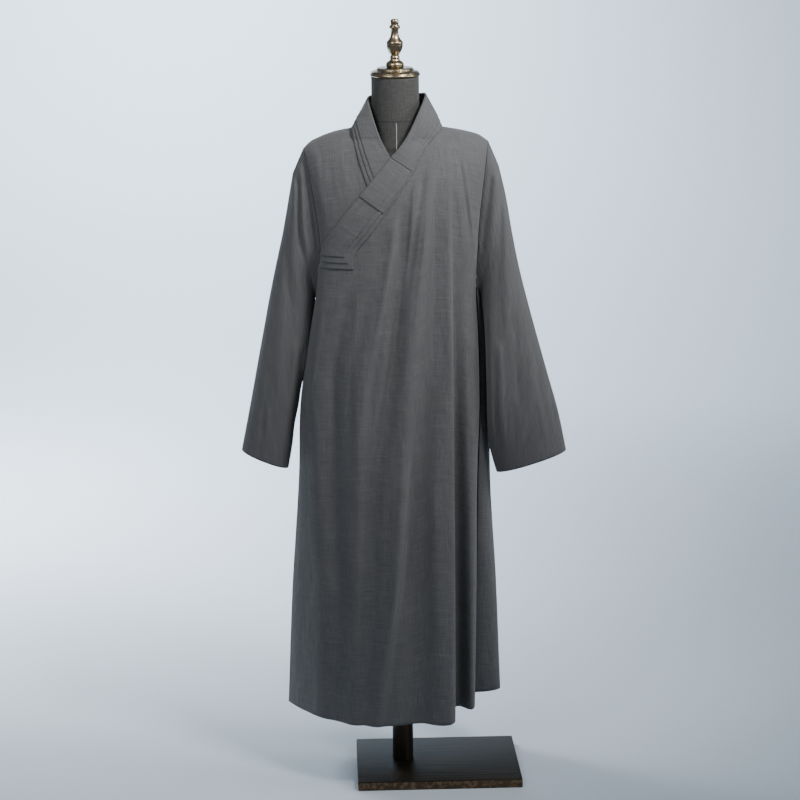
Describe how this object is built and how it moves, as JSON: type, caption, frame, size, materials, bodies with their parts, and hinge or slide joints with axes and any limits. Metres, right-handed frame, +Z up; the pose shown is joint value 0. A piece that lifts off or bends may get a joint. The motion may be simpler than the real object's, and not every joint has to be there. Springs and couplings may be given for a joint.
{
  "type": "buddhist monk robe on a dress form",
  "caption": "Long grey crossed-front robe with wide sleeves, a stepped collar and a side slit, hung on a limbless dress form on a post and board.",
  "frame": {"origin": "foot of the post's axis on the floor, in the plane of the board's underside", "axes": "+Z up, -Y the front of the robe, +X the viewer's right when facing the front"},
  "size_m": [0.716, 0.3334, 1.6747],
  "materials": {
    "robe_cloth": "matt mid-grey slubby linen-cotton weave",
    "form_linen": "charcoal linen cover, stretched smooth",
    "bronze": "polished antique bronze",
    "post_steel": "glossy very dark olive-brown paint",
    "board_wood": "glossy dark stain"
  },
  "bodies": {
    "root": {"front_outer": "robe_cloth", "front_inner": "robe_cloth", "back_right": "robe_cloth", "back_left": "robe_cloth", "sleeve_right": "robe_cloth", "sleeve_left": "robe_cloth", "collar_under_band": "robe_cloth", "collar_middle_band": "robe_cloth", "collar_main_band": "robe_cloth", "collar_patch_upper": "robe_cloth", "collar_patch_lower": "robe_cloth", "closing_knot": "robe_cloth", "closing_loop": "robe_cloth", "dress_form": "form_linen", "neck_cap": "bronze", "finial": "bronze", "post": "post_steel", "foot_board": "board_wood"}
  },
  "joints": []
}
